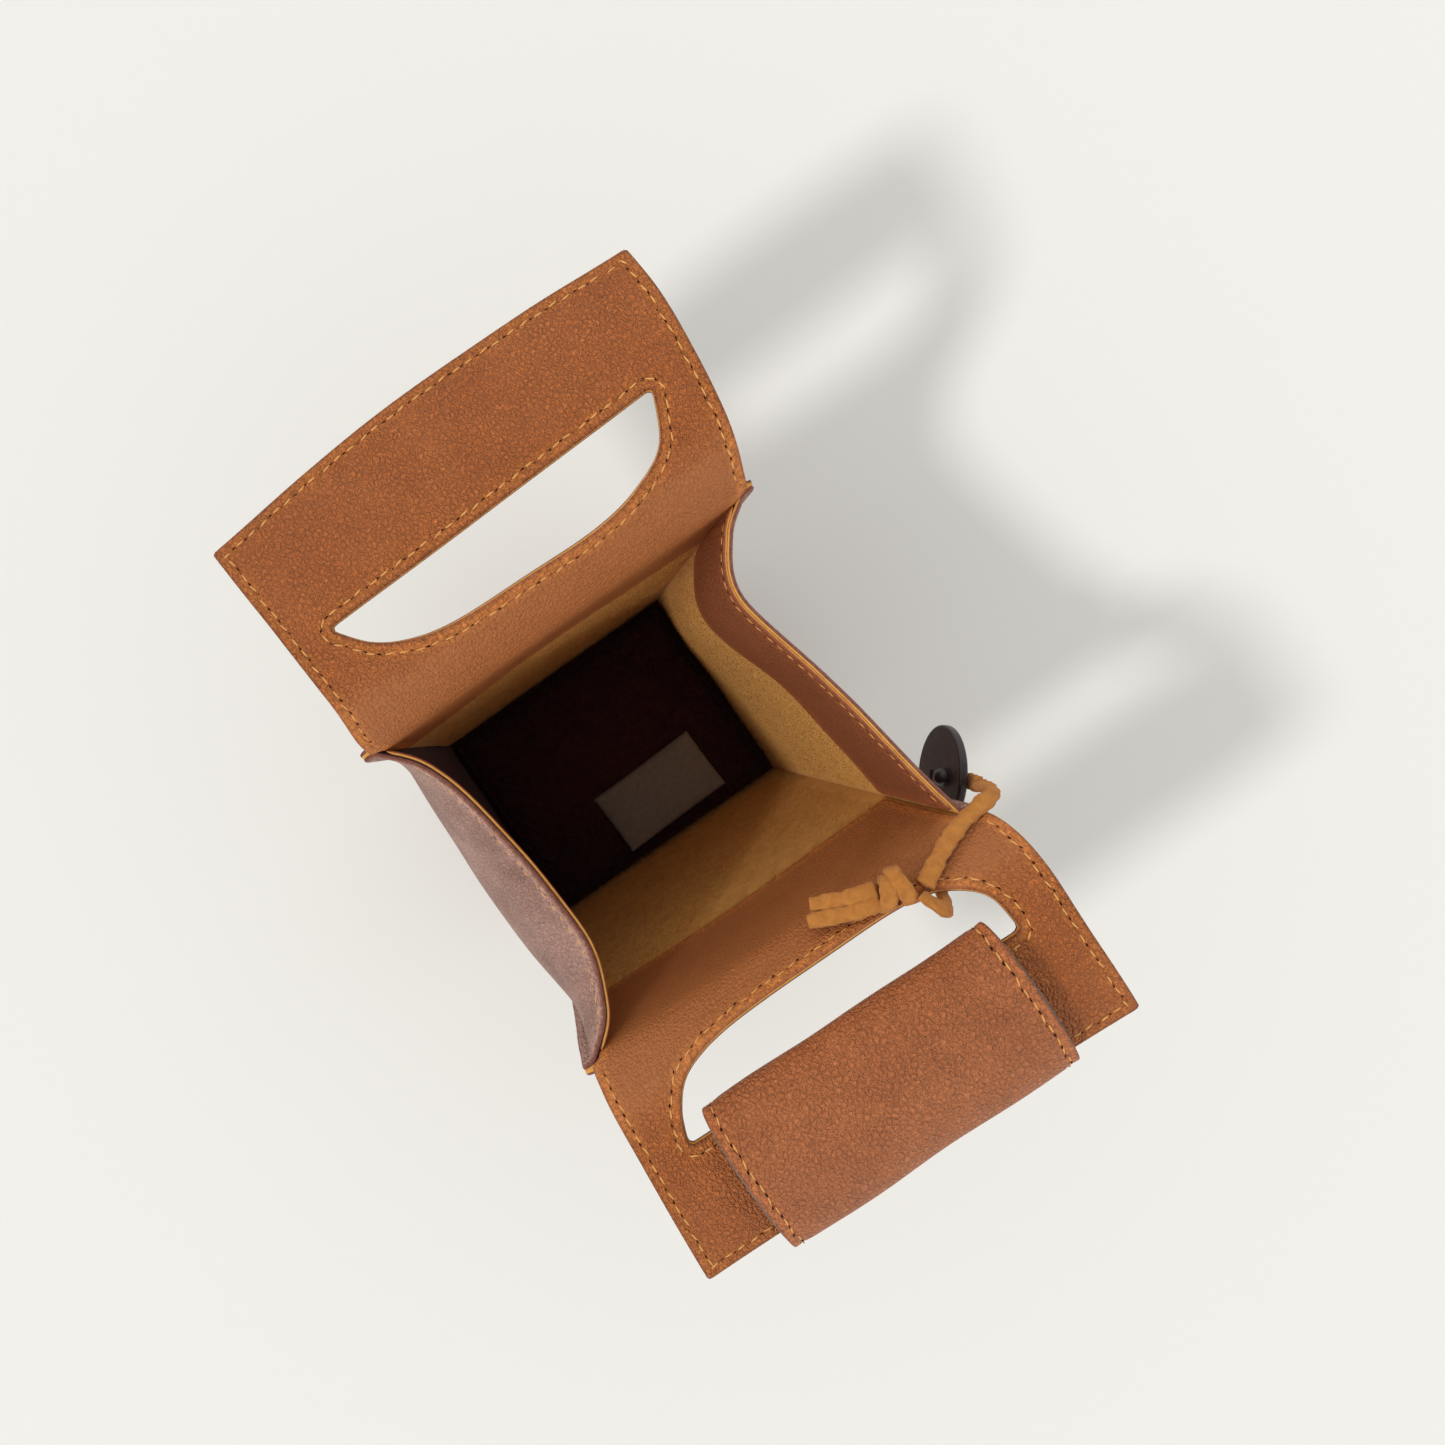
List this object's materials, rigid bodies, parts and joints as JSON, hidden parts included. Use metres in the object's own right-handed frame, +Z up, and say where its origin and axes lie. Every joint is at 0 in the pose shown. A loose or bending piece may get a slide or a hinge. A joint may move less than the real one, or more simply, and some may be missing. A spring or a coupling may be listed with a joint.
{
  "type": "leather camera case",
  "caption": "Open-topped brown leather camera case with two fold-out handle flaps, a padded press-stud grip, a lace with a disc toggle, and a plush pad inside.",
  "frame": {"origin": "centre of the underside of the base", "axes": "+Z up, +X along the flap hinge lines, +Y towards the back flap"},
  "size_m": [0.1402, 0.2073, 0.1517],
  "materials": {
    "leather_outer": "full-grain brown leather, fine pebble, satin",
    "leather_facing": "smooth brown facing leather, fine grain, satin",
    "leather_grip": "pebbled brown leather, satin",
    "plush": "short black-brown plush",
    "board": "bonded fibre board, matte",
    "foam": "dense felt padding, matte",
    "thread": "waxed tan thread",
    "suede_lace": "tan suede lace, napped",
    "toggle": "dark brown, soft gloss",
    "snap_metal": "antique brass, satin",
    "sachet_paper": "blank spun-bonded paper"
  },
  "bodies": {
    "case": {"base_panel": "leather_outer", "base_board": "board", "base_pad": "plush", "front_panel": "leather_outer", "back_panel": "leather_outer", "front_facing": "leather_facing", "back_facing": "leather_facing", "left_gusset": "leather_outer", "right_gusset": "leather_outer", "left_gusset_facing": "leather_facing", "right_gusset_facing": "leather_facing", "corner_stitching": "thread", "lace_drop": "suede_lace"},
    "back_flap": {"back_flap_outer": "leather_outer", "back_flap_facing": "leather_facing", "back_flap_stitching": "thread"},
    "front_flap": {"front_flap_outer": "leather_outer", "front_flap_facing": "leather_facing", "front_flap_stitching": "thread", "lace_strand": "suede_lace", "lace_loop": "suede_lace", "lace_knot": "suede_lace", "lace_tail_long": "suede_lace", "lace_tail_short": "suede_lace"},
    "grip": {"grip_cover": "leather_grip", "grip_lining": "leather_facing", "grip_padding": "foam", "grip_stitching": "thread", "snap_studs": "snap_metal"},
    "grip_leaf": {"grip_closure": "leather_grip", "snap_caps": "snap_metal", "snap_sockets": "snap_metal"},
    "toggle": {"toggle_disc": "toggle", "toggle_knot": "suede_lace", "lace_hitch": "suede_lace"},
    "sachet": {"desiccant_sachet": "sachet_paper"}
  },
  "joints": [
    {"name": "back_flap_hinge", "type": "hinge", "parent": "case", "child": "back_flap", "pos_m": [0.014, 0.042, 0.128], "axis": [1, 0, 0], "range_deg": [-35, 112]},
    {"name": "front_flap_hinge", "type": "hinge", "parent": "case", "child": "front_flap", "pos_m": [0.014, -0.054, 0.128], "axis": [-1, 0, 0], "range_deg": [-35, 84], "deforming": ["lace_strand", "lace_drop"]},
    {"name": "grip_slide", "type": "slide", "parent": "front_flap", "child": "grip", "axis": [1, 0, 0], "range_m": [-0.003, 0.003]},
    {"name": "grip_leaf_hinge", "type": "hinge", "parent": "grip", "child": "grip_leaf", "pos_m": [0.016, -0.1011, 0.13861], "axis": [-1, 0, 0], "range_deg": [0, 100]},
    {"name": "toggle_swing", "type": "hinge", "parent": "case", "child": "toggle", "pos_m": [0.0793, -0.0527, 0.117], "axis": [-0.6159, -0.7878, 0], "range_deg": [0, 55]},
    {"name": "sachet_lift", "type": "slide", "parent": "case", "child": "sachet", "axis": [0, 0, 1], "range_m": [0, 0.1]}
  ]
}
